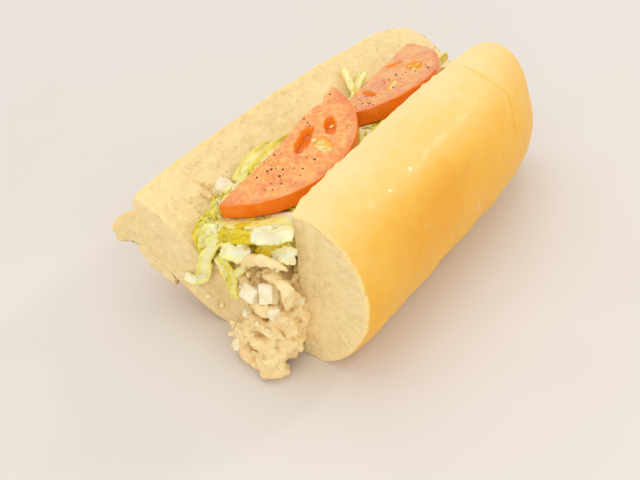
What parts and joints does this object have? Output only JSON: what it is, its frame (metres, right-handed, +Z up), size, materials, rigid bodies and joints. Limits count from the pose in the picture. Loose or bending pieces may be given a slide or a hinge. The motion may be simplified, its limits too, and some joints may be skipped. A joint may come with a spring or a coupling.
{
  "type": "submarine sandwich",
  "caption": "Half of a long bread roll cut straight across and opened along a bottom hinge, filled with creamy fish salad, shredded lettuce and half-moon tomato slices; lies on a table as food",
  "frame": {"origin": "middle of the sandwich's footprint, on the table it rests on", "axes": "+Y runs along the roll from its cut end towards its rounded baked end, +X runs across it from the opened base to the domed crown, +Z is up"},
  "size_m": [0.1029, 0.1804, 0.0594],
  "materials": {
    "bread": "soft baked bread: thin golden crust with a faint gloss, matt cream crumb with pores",
    "fish_salad": "moist, creamy flakes with a soft uneven gloss",
    "lettuce": "crisp wet leaf shreds, cream to yellow-green",
    "tomato": "wet cut flesh, glossy orange-red skin"
  },
  "bodies": {
    "root": {"roll": "bread", "fish_salad": "fish_salad", "lettuce": "lettuce", "tomato_front": "tomato", "tomato_rear": "tomato"}
  },
  "joints": []
}
